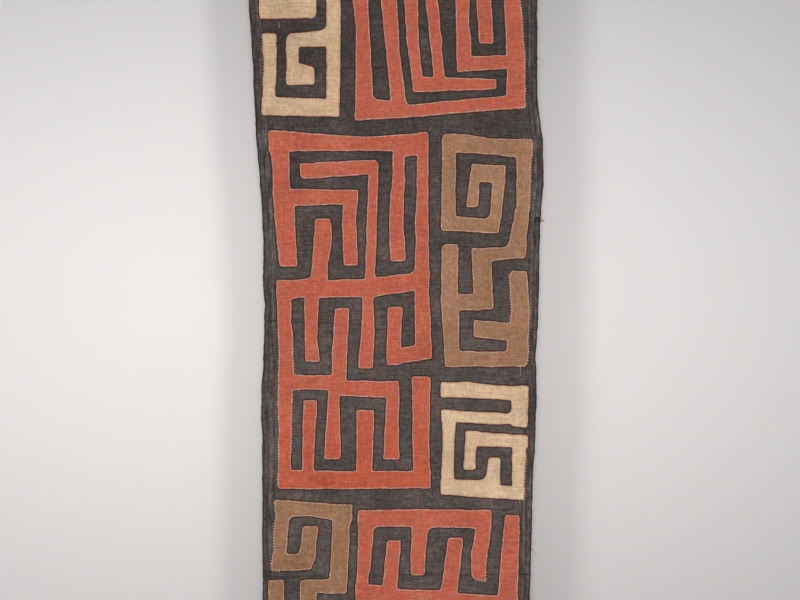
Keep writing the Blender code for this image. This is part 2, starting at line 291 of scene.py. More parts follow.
# The camera: its place in metres, its lens and its sensor
CAMERA_X = 0.0152
CAMERA_Z = -1.0527
LENS = 50.0
SENSOR = 36.0
# The stage in metres, its colours, how much brighter the camera sees the room, and the darkest share of the
# light falloff painted on the backdrop
FLOOR = -2.3
FLOOR_HALF = 6.0
WALL_HALF = 4.0
WALL_TOP = 2.2
PALE_PAINT = (0.815, 0.798, 0.788)
ROOM = (0.86, 0.85, 0.84, 1.0)
ROOM_SEEN = 0.56
PAINTED_LIGHT_DARKEST = 0.62
# Lamps, aimed at the cloth's middle: name, place, width and height, power as a share of the setting's
MIDDLE = (0.0, 0.0, -1.05)
LAMPS = (
    ("left", (-2.15, -2.3, -0.85), (0.85, 1.3), 1.32),
    ("right", (1.79, -2.3, -0.75), (0.72, 1.3), 1.0),
    ("front", (0.0, -2.9, -0.95), (0.6, 0.6), 1.25),
    ("behind", (0.5, 4.2, -0.8), (3.0, 2.2), 3.4),
)

NODES = sorted(frame["nodes"])
MOTIFS = [name for name in NODES if name.startswith("motif_")]
STRIPS = [name for name in NODES if name.endswith("_strip")]
PANELS = [name for name in NODES if name.startswith("panel_") and name not in STRIPS]


def length_setting(name, description, default):
    return bpy.props.FloatProperty(name=name, description=description, default=default, unit="LENGTH")


def colour_setting(name, description, default):
    return bpy.props.FloatVectorProperty(
        name=name, description=description, default=default, size=3, subtype="COLOR"
    )


def light_setting(name, description, default):
    return bpy.props.FloatProperty(name=name, description=description, default=default, min=0.0)


class ClothSettings(bpy.types.PropertyGroup):
    grid: length_setting("Panel grid", "Spacing of the panels' points", 0.0045)
    ripple: length_setting("Ripple", "Height of the cloth's small unevenness", 0.0009)
    corner: length_setting("Corner softness", "How far a cut corner is rounded", 0.0030)
    wobble: length_setting("Cut wobble", "How far a hand-cut edge wanders", 0.0016)
    hem: length_setting("Rolled hem", "Height of the roll along the outer edges", 0.0016)


class ThreadSettings(bpy.types.PropertyGroup):
    pitch: length_setting("Stitch pitch", "Distance between edging stitches", 0.0036)
    length: length_setting("Stitch length", "Length of an edging stitch", 0.0056)
    width: length_setting("Stitch width", "Width of an edging stitch", 0.0019)


class ColourSettings(bpy.types.PropertyGroup):
    charcoal: colour_setting("Charcoal", "Dye of the ground", (0.0604, 0.0477, 0.0436))
    terracotta: colour_setting("Terracotta", "Dye of the red motifs", (0.447, 0.0975, 0.0555))
    tan: colour_setting("Tan", "Dye of the tan motifs", (0.292, 0.147, 0.079))
    cream: colour_setting("Cream", "Undyed raffia", (0.560, 0.378, 0.235))
    thread: colour_setting("Pale thread", "Edging thread", (0.610, 0.425, 0.365))
    # Painted shade that falls along each motif's turned edge, laid on the skirt round it
    turned_edge_shade: colour_setting("Turned edge", "Shaded turn under a motif", (0.075, 0.018, 0.006))
    dark_thread: colour_setting("Dark thread", "Seam thread", (0.030, 0.022, 0.020))


class StageSettings(bpy.types.PropertyGroup):
    wall_gap: length_setting("Wall gap", "From the cloth to the backdrop", 0.12)
    view_width: length_setting("View width", "Width seen at the cloth", 1.733)
    fill: light_setting("Room light", "Strength of the even light from all sides", 0.214)
    key_power: light_setting("Front light", "Power of each front light in watts", 24.6)


# The hanging surface


def seam_drop(seam, x):
    left, right = seam
    return left + (right - left) * (x + SEAM_REACH) / (2.0 * SEAM_REACH)


def bell(aside, below=0.0):
    """1 in the middle of a bell, falling off over about 1 each way."""
    return np.exp(-(aside**2) - below**2)


def ruffle(x, y, z):
    """Soft noise between -1 and 1."""
    return noise.noise(Vector((x, y, z)))


def cloth_depth(x, z):
    """Depth of the cloth's front behind its top edge, in metres, at arrays of x and z in metres."""
    across = np.asarray(x, float) / MM
    drop = -np.asarray(z, float) / MM
    depth = np.zeros_like(across)
    for fold_x, fold_drop, half_width, half_height, lean, height in FOLDS:
        down = drop - fold_drop
        aside = across - fold_x - lean * down
        depth += height * bell(aside / half_width, down / half_height)
    depth *= 1.0 - bell(drop / HELD_STRAIGHT)
    for pucker_x, pucker_drop, half_width, half_height, pitch, height in PUCKERS:
        aside = across - pucker_x
        near = bell(aside / half_width, (drop - pucker_drop) / half_height)
        depth += height * near * np.sin(math.tau * aside / pitch)
    groove, groove_width = SEAM_GROOVE
    gather, gather_width, gather_pitch = SEAM_GATHERS
    for seam in SEAMS:
        off = drop - seam_drop(seam, across)
        depth += groove * bell(off / groove_width)
        depth += gather * bell(off / gather_width) * np.sin(math.tau * across / gather_pitch)
    small = [
        ruffle(a * 13.0, b * 10.0, 0.3) + 0.35 * ruffle(a * 43.0, b * 36.0, 5.1)
        for a, b in zip(np.ravel(x).tolist(), np.ravel(z).tolist())
    ]
    ripple = np.reshape(small, across.shape) * bpy.context.scene.raffia_cloth.ripple
    return depth * MM + ripple


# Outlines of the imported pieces


def open_edges(faces):
    """The edges of faces that no other face runs along the other way."""
    edges = set()
    for face in faces:
        for a, b in zip(face, face[1:] + face[:1]):
            if (b, a) in edges:
                edges.remove((b, a))
            else:
                edges.add((a, b))
    return sorted(edges)


def front_loops(node):
    """Closed outlines of a piece's front as arrays of (x, z), with the cloth on the left of each."""
    mesh = frame["nodes"][node].data
    faces = []
    for face in mesh.polygons:
        if face.normal.y <= -0.5:
            corners = [mesh.vertices[i].co for i in face.vertices]
            faces.append([(round(c.x, 6), round(c.z, 6)) for c in corners])
    onward = defaultdict(list)
    for a, b in open_edges(faces):
        onward[a].append(b)
    loops = []
    while onward:
        start = min(onward)
        loop = [start]
        while True:
            step = onward[loop[-1]].pop()
            if not onward[loop[-1]]:
                del onward[loop[-1]]
            if step == start:
                break
            loop.append(step)
        loops.append(np.array(loop))
    return loops


def front_area(node):
    """Area of a piece's front, laid flat, in square metres."""
    area = 0.0
    for loop in front_loops(node):
        after = np.roll(loop, -1, axis=0)
        area += 0.5 * float(np.sum(loop[:, 0] * after[:, 1] - after[:, 0] * loop[:, 1]))
    return area


def spaced(points, count, closed=False):
    """The same line as a given number of evenly spaced points."""
    line = np.vstack([points, points[:1]]) if closed else points
    steps = np.hypot(*np.diff(line, axis=0).T)
    along = np.concatenate([[0.0], np.cumsum(steps)])
    stops = np.linspace(0.0, along[-1], count, endpoint=not closed)
    return np.column_stack([np.interp(stops, along, line[:, 0]), np.interp(stops, along, line[:, 1])])


def averaged(points, step, softness):
    """A closed line of evenly spaced points under a bell-shaped average."""
    reach = int(math.ceil(3.0 * softness / step))
    shifts = range(-reach, reach + 1)
    weights = np.exp(-0.5 * (np.array(shifts) * step / softness) ** 2)
    weights /= weights.sum()
    return sum(w * np.roll(points, -shift, axis=0) for shift, w in zip(shifts, weights))


def softened_loop(loop, softness):
    """A closed outline with its corners rounded, some of them more than the rest."""
    length = float(np.sum(np.hypot(*(np.roll(loop, -1, axis=0) - loop).T)))
    count = max(24, int(length / 0.0029))
    points = spaced(loop, count, closed=True)
    crisp = averaged(points, length / count, softness)
    round_cut = averaged(points, length / count, 3.3 * softness)
    share = np.zeros(count)
    for x, drop, reach in ROUND_CORNERS:
        away = np.hypot(points[:, 0] - x * MM, points[:, 1] + drop * MM)
        share = np.maximum(share, bell(away / (reach * MM)))
    return crisp + (round_cut - crisp) * share[:, None]


def outward(points):
    """Unit vectors that point away from the cloth along a closed outline."""
    along = np.roll(points, -1, axis=0) - np.roll(points, 1, axis=0)
    along /= np.hypot(*along.T)[:, None]
    return np.column_stack([along[:, 1], -along[:, 0]])


def hand_cut(node):
    """The outlines of a motif as scissors leave them, rounded and slightly wandering."""
    cloth = bpy.context.scene.raffia_cloth
    cut = []
    for loop in front_loops(node):
        points = softened_loop(loop, cloth.corner)
        wander = [
            ruffle(x * 34.0, z * 34.0, 2.0) + 0.5 * ruffle(x * 95.0, z * 95.0, 8.0)
            for x, z in points.tolist()
        ]
        shift = outward(points) * (np.array(wander) * cloth.wobble - TURN_IN * MM)[:, None]
        for x, drop, half_width, half_height, across, down in STRAYS:
            aside = (points[:, 0] / MM - x) / half_width
            below = (-points[:, 1] / MM - drop) / half_height
            shift = shift + bell(aside, below)[:, None] * np.array([across, -down]) * MM
        cut.append(points + shift)
    return cut


# Meshes


def smooth_mesh(name, places, faces):
    """A smooth mesh of faces."""
    mesh = bpy.data.meshes.new(name)
    mesh.from_pydata(places, [], faces)
    mesh.shade_smooth()
    return mesh


def mark(mesh, name, values):
    """Gives each point of a mesh a value that its finish reads."""
    mesh.attributes.new(name, "FLOAT", "POINT").data.foreach_set("value", values)


def new_piece(name, mesh):
    piece = bpy.data.objects.new(name, mesh)
    bpy.context.scene.collection.objects.link(piece)
    return piece


def stand_in(piece, node, material):
    """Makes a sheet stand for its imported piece."""
    piece.data.materials.append(material)
    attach(piece, "root")
    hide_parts(node)
    slot_of(node)
    low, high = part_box(node)
    area = front_area(node)
    flat = (high.x - low.x, high.z - low.z)
    if node.startswith("panel_"):
        flat = (area / flat[1], flat[1])


def slot_of(node):
    for part in frame["record"]["subparts"]:
        if part["node"] == node:
            return part["material_slot"]
    raise RuntimeError("no material slot for " + node)


def sides_of(node):
    """Left, bottom, right and top side of a four-sided piece, each down or to the right."""
    loop = front_loops(node)[0]
    loop = loop + outward(loop) * 0.5 * GAP * MM
    x, z = loop[:, 0], loop[:, 1]
    corners = [int(np.argmax(v)) for v in (z - x, -z - x, x - z, x + z)]
    loop = np.roll(loop, -corners[0], axis=0)
    count = len(loop)
    marks = [(c - corners[0]) % count for c in corners] + [count]
    closed = np.vstack([loop, loop[:1]])
    left, bottom, right, top = (closed[a : b + 1] for a, b in zip(marks, marks[1:]))
    return left, bottom, right[::-1], top[::-1]


def eased(side, count, wander, seed):
    """A side with its straight runs turned to one soft line that still ends where it did."""
    points = spaced(side, count)
    before = np.repeat(points[:1], EASE_REACH, axis=0)
    after = np.repeat(points[-1:], EASE_REACH, axis=0)
    padded = np.vstack([before, points, after])
    weights = np.exp(-0.5 * (np.arange(-EASE_REACH, EASE_REACH + 1) / EASE_SOFTNESS) ** 2)
    weights /= weights.sum()
    soft = np.column_stack([np.convolve(padded[:, k], weights, "valid") for k in (0, 1)])
    ends = np.minimum(np.arange(count), np.arange(count)[::-1]) / EASE_ENDS
    share = np.clip(ends, 0.0, 1.0)[:, None]
    points = points * (1.0 - share) + soft * share
    for row, z in enumerate(points[:, 1].tolist()):
        points[row, 0] += wander * ruffle(seed, z * 31.0, 0.0)
        points[row, 0] += 0.6 * wander * ruffle(seed, z * 120.0, 4.0)
    return points


def patch(left, bottom, right, top):
    """A net of (x, z) stretched between four sides, as two arrays of rows and columns."""
    down = np.linspace(0.0, 1.0, len(left))[:, None, None]
    across = np.linspace(0.0, 1.0, len(top))[None, :, None]
    ruled_across = (1.0 - across) * left[:, None, :] + across * right[:, None, :]
    ruled_down = (1.0 - down) * top[None, :, :] + down * bottom[None, :, :]
    upper = (1.0 - across) * left[0] + across * right[0]
    lower = (1.0 - across) * left[-1] + across * right[-1]
    net = ruled_across + ruled_down - (1.0 - down) * upper - down * lower
    return net[..., 0], net[..., 1]


def net_sheet(name, x, z, front, back, inset=None):
    """A closed sheet on a net, from the front's depth to the back's, in metres."""
    rows, columns = x.shape
    count = rows * columns
    places = np.concatenate(
        [np.stack([x, front, z], -1).reshape(-1, 3), np.stack([x, back, z], -1).reshape(-1, 3)]
    )
    index = np.arange(count).reshape(rows, columns)
    quads = np.stack([index[:-1, :-1], index[1:, :-1], index[1:, 1:], index[:-1, 1:]], -1).reshape(-1, 4)
    rim = np.concatenate([index[:-1, 0], index[-1, :-1], index[:0:-1, -1], index[0, :0:-1]])
    after = np.roll(rim, -1)
    walls = np.stack([rim, rim + count, after + count, after], -1)
    faces = np.concatenate([quads, quads[:, ::-1] + count, walls])
    mesh = smooth_mesh(name, places.tolist(), faces.tolist())
    if inset is not None:
        mark(mesh, "inset", np.concatenate([inset.ravel(), inset.ravel()]))
    return mesh


def panel_mesh(name, node):
    spacing = bpy.context.scene.raffia_cloth.grid
    left, bottom, right, top = sides_of(node)
    rows = int(PANEL_HEIGHT * MM / spacing)
    columns = int(PANEL_WIDTH * MM / spacing)
    x, z = patch(
        eased(left, rows, *LEFT_SEAM),
        spaced(bottom, columns),
        eased(right, rows, *RIGHT_SEAM),
        spaced(top, columns),
    )
    depth = cloth_depth(x, z)
    return net_sheet(name, x, z, depth, depth + PANEL_BACK * MM)


def strip_mesh(name, node):
    """A side strip whose outer edge is turned over into a narrow roll."""
    cloth = bpy.context.scene.raffia_cloth
    on_left = "left" in node
    left, bottom, right, top = sides_of(node)
    rows = int(PANEL_HEIGHT * MM / cloth.grid)
    left_edge, right_edge = (LEFT_HEM, LEFT_SEAM) if on_left else (RIGHT_SEAM, RIGHT_HEM)
    x, z = patch(
        eased(left, rows, *left_edge),
        spaced(bottom, STRIP_COLUMNS),
        eased(right, rows, *right_edge),
        spaced(top, STRIP_COLUMNS),
    )
    inset = np.abs(x - (x[:, :1] if on_left else x[:, -1:]))
    depth = cloth_depth(x, z)
    seed = left_edge[1] if on_left else right_edge[1]
    lumps = np.array([1.0 + 0.35 * ruffle(seed, v * 70.0, 1.0) for v in z[:, 0].tolist()])
    middle, half_width = HEM_ROLL
    roll = np.sqrt(np.clip(1.0 - ((inset - middle) / half_width) ** 2, 0.0, 1.0))
    rise = cloth.hem * (roll * lumps[:, None])
    tuck = sum(deep * bell((inset - place) / reach) for deep, place, reach in HEM_TUCKS)
    return net_sheet(name, x, z, depth - rise + tuck, depth + STRIP_BACK * MM + 0.4 * rise, inset)


def depth_inside(outlines):
    """A function that says how far inside a motif's outlines a place is, below 0 outside them."""
    samples = [(p, n) for loop in outlines for p, n in zip(loop.tolist(), outward(loop).tolist())]
    tree = kdtree.KDTree(len(samples))
    for i, (p, _) in enumerate(samples):
        tree.insert((p[0], p[1], 0.0), i)
    tree.balance()

    def inside_by(x, z):
        _, i, gap = tree.find((x, z, 0.0))
        p, n = samples[i]
        return -gap if (x - p[0]) * n[0] + (z - p[1]) * n[1] > 0.0 else gap

    return inside_by


def motif_mesh(name, outlines):
    """A cut motif: a skirt pressed into the ground that its finish paints dark as shade, a rolled edge and a
    slightly padded face.
    """
    points, insets, edges = [], [], []
    for loop in outlines:
        away = outward(loop)
        for inset, _ in MOTIF_RISE[:-1]:
            start, count = len(points), len(loop)
            if inset < 0.0:
                edges += [(start + k, start + (k + 1) % count) for k in range(count)]
            points.extend((loop - away * inset * MM).tolist())
            insets.extend([inset * MM] * count)
    inside_by = depth_inside(outlines)
    corners = np.vstack(outlines)
    low, high = corners.min(0), corners.max(0)
    columns, rows = ((high - low) / FACE_GRID).astype(int) + 1
    for i in range(columns):
        for j in range(rows):
            x = low[0] + (i + 0.5 * (j % 2)) * FACE_GRID + FACE_JITTER * ruffle(i * 7.3, j * 3.1, 0.5)
            z = low[1] + j * FACE_GRID + FACE_JITTER * ruffle(i * 2.7, j * 9.1, 6.5)
            inset = inside_by(x, z)
            if inset > FACE_MARGIN:
                points.append([x, z])
                insets.append(inset)
    made = delaunay_2d_cdt([Vector(p) for p in points], edges, [], 1, SAME_PLACE)
    places, triangles, sources = made[0], made[2], made[3]
    inset = np.array([insets[s[0]] if s else 0.0 for s in sources])
    flat = np.array([(p.x, p.y) for p in places])
    shaded_skirt_edge = 1.08 * MOTIF_RISE[0][0] * MM
    kept = [tuple(tri) for tri in triangles if inside_by(*flat[list(tri)].mean(0)) > shaded_skirt_edge]
    rise = np.interp(inset / MM, *zip(*MOTIF_RISE))
    pad = [0.25 * ruffle(x * 60.0, z * 60.0, 9.0) for x, z in flat.tolist()]
    ground = cloth_depth(flat[:, 0], flat[:, 1])
    front = ground + (rise + np.where(inset > 0.001, pad, 0.0)) * MM
    return closed_sheet(name, flat, kept, front, ground + MOTIF_BACK * MM, inset)


def closed_sheet(name, flat, triangles, front, back, inset):
    """A closed sheet from front triangles, with the same ones reversed behind and a wall round them."""
    used = sorted({i for tri in triangles for i in tri})
    new = {old: k for k, old in enumerate(used)}
    count = len(used)
    area = [np.cross(flat[b] - flat[a], flat[c] - flat[a]) for a, b, c in triangles]
    facing = [t if s > 0.0 else t[::-1] for t, s in zip(triangles, area)]
    facing = [tuple(new[i] for i in tri) for tri in facing]
    faces = facing + [tuple(i + count for i in tri[::-1]) for tri in facing]
    faces += [(a, a + count, b + count, b) for a, b in open_edges(facing)]
    x, z = flat[used, 0], flat[used, 1]
    places = np.vstack([np.column_stack([x, front[used], z]), np.column_stack([x, back[used], z])])
    mesh = smooth_mesh(name, places.tolist(), faces)
    mark(mesh, "inset", np.concatenate([inset[used], inset[used]]))
    return mesh


# Threads, made by one tree of Geometry Nodes

STITCH_TREE = "Stitches Along Lines"
STITCH_INPUTS = ("Pitch", "Length", "Width", "Height", "Slant", "Looseness")


def place_node(tree, kind, inputs=(), **settings):
    made = tree.nodes.new(kind)
    for name, value in settings.items():
        setattr(made, name, value)
    for socket, value in dict(inputs).items():
        if isinstance(value, bpy.types.NodeSocket):
            tree.links.new(value, made.inputs[socket])
        else:
            made.inputs[socket].default_value = value
    return made


def maths(tree, operation, *values):
    return place_node(tree, "ShaderNodeMath", enumerate(values), operation=operation).outputs[0]


def random_share(tree, low, high, seed):
    """A random value for each stitch."""
    inputs = {2: low, 3: high, "Seed": seed}
    return place_node(tree, "FunctionNodeRandomValue", inputs, data_type="FLOAT").outputs[1]


def add_socket(tree, name, kind, value=None, out=False):
    way = "OUTPUT" if out else "INPUT"
    made = tree.interface.new_socket(name=name, in_out=way, socket_type="NodeSocket" + kind)
    if value is not None:
        made.default_value = value


def stitch_tree(name):
    """Lays slim stitches along lines, each turned by a slant and a little chance."""
    tree = bpy.data.node_groups.new(name, "GeometryNodeTree")
    add_socket(tree, "Lines", "Geometry")
    for socket, value in zip(STITCH_INPUTS, (0.004, 0.005, 0.0016, 0.001, 0.4, 0.25)):
        add_socket(tree, socket, "Float", value)
    add_socket(tree, "Seed", "Int", 1)
    add_socket(tree, "Thread", "Material")
    add_socket(tree, "Stitches", "Geometry", out=True)
    given = place_node(tree, "NodeGroupInput").outputs
    curve = place_node(tree, "GeometryNodeMeshToCurve", {"Mesh": given["Lines"]}).outputs[0]
    spots = place_node(
        tree, "GeometryNodeResampleCurve", {"Curve": curve, "Length": given["Pitch"]}, mode="LENGTH"
    ).outputs[0]
    grain = place_node(tree, "GeometryNodeMeshIcoSphere", {"Radius": 0.5, "Subdivisions": 1}).outputs[0]
    grain = place_node(tree, "GeometryNodeSetShadeSmooth", {"Geometry": grain}).outputs[0]
    along = place_node(tree, "GeometryNodeInputTangent").outputs[0]
    lying = place_node(
        tree, "FunctionNodeAlignRotationToVector", {"Vector": along}, axis="X", pivot_axis="Y"
    )
    loose = random_share(tree, -1.0, 1.0, given["Seed"])
    angle = maths(tree, "ADD", given["Slant"], maths(tree, "MULTIPLY", loose, given["Looseness"]))
    turn = place_node(tree, "FunctionNodeAxisAngleToRotation", {"Axis": (0.0, 1.0, 0.0), "Angle": angle})
    slanted = place_node(
        tree,
        "FunctionNodeRotateRotation",
        {"Rotation": lying.outputs[0], "Rotate By": turn.outputs[0]},
        rotation_space="LOCAL",
    )
    longer = random_share(tree, 0.75, 1.2, maths(tree, "ADD", given["Seed"], 11.0))
    wider = random_share(tree, 0.75, 1.25, maths(tree, "ADD", given["Seed"], 23.0))
    size = place_node(
        tree,
        "ShaderNodeCombineXYZ",
        {
            "X": maths(tree, "MULTIPLY", given["Length"], longer),
            "Y": given["Height"],
            "Z": maths(tree, "MULTIPLY", given["Width"], wider),
        },
    )
    sewn = place_node(
        tree,
        "GeometryNodeInstanceOnPoints",
        {"Points": spots, "Instance": grain, "Rotation": slanted.outputs[0], "Scale": size.outputs[0]},
    ).outputs[0]
    tone = random_share(tree, 0.0, 1.0, maths(tree, "ADD", given["Seed"], 37.0))
    toned = place_node(
        tree,
        "GeometryNodeStoreNamedAttribute",
        {"Geometry": sewn, "Name": "tone", "Value": tone},
        data_type="FLOAT",
        domain="INSTANCE",
    ).outputs[0]
    solid = place_node(tree, "GeometryNodeRealizeInstances", {"Geometry": toned}).outputs[0]
    dyed = place_node(tree, "GeometryNodeSetMaterial", {"Geometry": solid, "Material": given["Thread"]})
    place_node(tree, "NodeGroupOutput", {"Stitches": dyed.outputs[0]})
    return tree


def line_mesh(name, lines):
    """Lines of points in space as a mesh of edges; each line says whether it is closed."""
    places, edges = [], []
    for points, closed in lines:
        start = len(places)
        places.extend(points)
        edges.extend((start + i, start + i + 1) for i in range(len(points) - 1))
        if closed:
            edges.append((start + len(points) - 1, start))
    mesh = bpy.data.meshes.new(name)
    mesh.from_pydata(places, edges, [])
    return mesh


def sew(name, lines, thread, seed, sizes):
    """Sews stitches along lines as one plain mesh piece."""
    piece = new_piece(name, line_mesh(name, lines))
    sewing = piece.modifiers.new("Stitches", "NODES")
    sewing.node_group = bpy.data.node_groups.get(STITCH_TREE) or stitch_tree(STITCH_TREE)
    *lengths, slant, looseness = sizes
    wanted = dict(zip(STITCH_INPUTS, (*[length * MM for length in lengths], slant, looseness)))
    wanted.update({"Seed": seed, "Thread": thread_finish(thread)})
    for socket in sewing.node_group.interface.items_tree:
        if socket.in_out == "INPUT" and socket.name in wanted:
            sewing[socket.identifier] = wanted[socket.name]
    depsgraph = bpy.context.evaluated_depsgraph_get()
    mesh = bpy.data.meshes.new_from_object(piece.evaluated_get(depsgraph), depsgraph=depsgraph)
    piece.modifiers.clear()
    piece.data = mesh
    mesh.name = name
    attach(piece, "root")


def lifted(flat, height):
    """Points of (x, z) lifted off the ground's front by a height in millimetres."""
    flat = np.asarray(flat, float)
    depth = cloth_depth(flat[:, 0], flat[:, 1]) - height * MM
    return np.column_stack([flat[:, 0], depth, flat[:, 1]]).tolist()


def runs(points, wanted):
    """The unbroken stretches of a closed line whose points are wanted."""
    found, run = [], []
    for point, keep in zip(points.tolist(), wanted):
        if keep:
            run.append(point)
        elif run:
            found.append(run)
            run = []
    if run:
        found.append(run)
    return [np.array(r) for r in found if len(r) > 3]


def edging(node, seed):
    """The pale line of close stitches that holds a motif's turned edge, and its open whipping."""
    stitches = bpy.context.scene.raffia_threads
    outlines = hand_cut(node)
    thread = "cream_thread" if slot_of(node) == "cream" else "pale_thread"
    lines = [(lifted(loop + outward(loop) * EDGING_OUT, EDGING_LIFT), True) for loop in outlines]
    sizes = [size / MM for size in (stitches.pitch, stitches.length, stitches.width)]
    sew(node + "_edging", lines, thread, seed, (*sizes, *EDGING))
    whips = []
    for loop in outlines:
        x, drop = loop[:, 0] / MM, -loop[:, 1] / MM
        for name, left, right, top, bottom in WHIPPED:
            if name == node:
                wanted = (x > left) & (x < right) & (drop > top) & (drop < bottom)
                outer = loop + outward(loop) * WHIPPING_OUT
                whips += [(lifted(run, WHIPPING_LIFT), False) for run in runs(outer, wanted)]
    if whips:
        sew(node + "_whipping", whips, thread, seed + 50, WHIPPING)


def sew_rows(name, rows):
    """Sews one of the stitches in the table along open lines of (x, z)."""
    thread, slot, seed, height, *sizes = STITCHES[name]
    sew(name, [(lifted(row, height), False) for row in rows], thread, seed, sizes)


def panel_seams():
    """Where panel meets panel, as lines that end inside the outer hems."""
    found = []
    for panel in PANELS[1:]:
        tops = [sides_of(node)[3] for node in (panel + "_left_strip", panel, panel + "_right_strip")]
        found.append(spaced(np.vstack(tops), 150)[2:-2])
    return found


def strip_side(node, outer):
    """The outer or the inner side of a strip."""
    left, _, right, _ = sides_of(node)
    return spaced(left if ("left" in node) == outer else right, 90)


def strip_seams():
    return [strip_side(node, False) for node in STRIPS]


def hem_stitches():
    """Lines along the middle of each rolled hem."""
    found = []
    for node in STRIPS:
        side = strip_side(node, True)
        side[:, 0] += HEM_ROLL[0] if "left" in node else -HEM_ROLL[0]
        found.append(side)
    return found


def end_stitches():
    across = np.linspace(-END_HALF_WIDTH, END_HALF_WIDTH, 130)
    return [np.array([(x * MM, -drop * MM) for x in across]) for drop in END_DROPS]


def mends():
    """Short lines down the motifs' darned places."""
    return [
        np.array([(x * MM, -(drop + length * k / count) * MM) for k in range(count + 1)])
        for x, drop, length, count in MENDS
    ]


def strip_joins():
    """Across two places where a strip was pieced."""
    return [spaced(sides_of(node)[3], 20)[1:-1] for node in ("panel_3_left_strip", "panel_4_right_strip")]


def ticks(rows):
    return [spaced(np.array(row) * (MM, -MM), 30) for row in rows]


def tube(points, radius, sides=5):
    """A thin round thread along points in space, as places and faces."""
    places, faces = [], []
    count = len(points)
    for i, point in enumerate(points):
        ahead = Vector(points[min(i + 1, count - 1)]) - Vector(points[max(i - 1, 0)])
        ahead.normalize()
        side = ahead.cross(Vector((0.0, 1.0, 0.0))).normalized()
        up = side.cross(ahead)
        thin = radius * (1.0 - 0.55 * i / count)
        for k in range(sides):
            turn = math.tau * k / sides
            places.append(Vector(point) + side * thin * math.cos(turn) + up * thin * math.sin(turn))
    for i in range(count - 1):
        for k in range(sides):
            a, b = i * sides + k, i * sides + (k + 1) % sides
            faces.append((a, b, b + sides, a + sides))
    faces.append(tuple(range(sides))[::-1])
    faces.append(tuple(range((count - 1) * sides, count * sides)))
    return places, faces


def loose_ends(name, kind, thread):
    """Frayed ends of thread that stand a little off the cloth."""
    places, faces = [], []
    for which, radius, points in LOOSE_THREADS:
        if which != kind:
            continue
        line = spaced(np.array([(x * MM, -drop * MM) for x, drop in points]), 14)
        soft = line.copy()
        soft[1:-1] = 0.25 * line[:-2] + 0.5 * line[1:-1] + 0.25 * line[2:]
        depth = cloth_depth(np.clip(soft[:, 0], -0.31, 0.31), soft[:, 1]) - 0.0012
        depth -= 0.002 * np.sin(np.linspace(0.0, 2.2, len(soft)))
        more, skin = tube(np.column_stack([soft[:, 0], depth, soft[:, 1]]).tolist(), radius * MM)
        faces += [tuple(i + len(places) for i in face) for face in skin]
        places += more
    mesh = smooth_mesh(name, places, faces)
    mark(mesh, "tone", [0.6] * len(places))
    mesh.materials.append(thread_finish(thread))
    piece = new_piece(name, mesh)
    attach(piece, "root")


# Materials


def mix(tree, share, first, second, blend="MIX"):
    """One colour over another."""
    inputs = {0: share, 6: first, 7: second}
    made = place_node(tree, "ShaderNodeMix", inputs, data_type="RGBA", blend_type=blend)
    made.clamp_factor = True
    return made.outputs[2]


def height_of(tree, position):
    return place_node(tree, "ShaderNodeSeparateXYZ", {0: position}).outputs["Z"]


def marked(tree, name):
    """The value that each point of the mesh was given under a name."""
    return place_node(tree, "ShaderNodeAttribute", attribute_name=name).outputs["Fac"]


def cloudy(tree, position, name):
    """One of the soft noises in the table, from 0 to 1."""
    *scales, detail, roughness = NOISES[name]
    inputs = {0: position, 1: scales}
    spread = place_node(tree, "ShaderNodeVectorMath", inputs, operation="MULTIPLY").outputs[0]
    inputs = {"Vector": spread, "Scale": 1.0, "Detail": detail, "Roughness": roughness}
    return place_node(tree, "ShaderNodeTexNoise", inputs).outputs["Fac"]


def ramped(tree, value, low, high, to_low=0.0, to_high=1.0):
    inputs = {"Value": value, "From Min": low, "From Max": high, "To Min": to_low, "To Max": to_high}
    return place_node(tree, "ShaderNodeMapRange", inputs, interpolation_type="SMOOTHSTEP").outputs["Result"]


def shader_group(name, inputs, outputs):
    """A new node group with its input values and output kinds, and both of its ends."""
    tree = bpy.data.node_groups.new(name, "ShaderNodeTree")
    for socket, kind, value in inputs:
        add_socket(tree, socket, kind, value)
    for socket, kind in outputs:
        add_socket(tree, socket, kind, out=True)
    return tree, place_node(tree, "NodeGroupInput").outputs, place_node(tree, "NodeGroupOutput").inputs


def weave_group(name):
    """Plain weave of flat raffia threads: height, and the tone of each thread."""
    tree, given, out = shader_group(
        name,
        (
            ("Position", "Vector", None),
            ("Across Pitch", "Float", 0.0013),
            ("Down Pitch", "Float", 0.0013),
            ("Waver", "Float", 0.0004),
        ),
        (("Height", "Float"), ("Thread Tone", "Float")),
    )
    position = given["Position"]
    split = place_node(tree, "ShaderNodeSeparateXYZ", {0: position}).outputs
    drift = maths(tree, "SUBTRACT", cloudy(tree, position, "waver"), 0.5)
    drift = maths(tree, "MULTIPLY", drift, maths(tree, "MULTIPLY", given["Waver"], 6.0))
    waves = []
    for axis, pitch in (("X", "Across Pitch"), ("Z", "Down Pitch")):
        turns = maths(tree, "DIVIDE", maths(tree, "ADD", split[axis], drift), given[pitch])
        waves.append(maths(tree, "SINE", maths(tree, "MULTIPLY", turns, math.pi)))
    over = maths(tree, "GREATER_THAN", maths(tree, "MULTIPLY", *waves), 0.0)
    under = maths(tree, "SUBTRACT", 1.0, over)
    down_thread = maths(tree, "MULTIPLY", maths(tree, "ABSOLUTE", waves[0]), over)
    across_thread = maths(tree, "MULTIPLY", maths(tree, "ABSOLUTE", waves[1]), under)
    tree.links.new(maths(tree, "ADD", down_thread, across_thread), out["Height"])
    down_tone = maths(tree, "MULTIPLY", cloudy(tree, position, "threads down"), over)
    across_tone = maths(tree, "MULTIPLY", cloudy(tree, position, "threads across"), under)
    tone = maths(tree, "ADD", down_tone, across_tone)
    tree.links.new(ramped(tree, tone, 0.25, 0.75), out["Thread Tone"])
    return tree


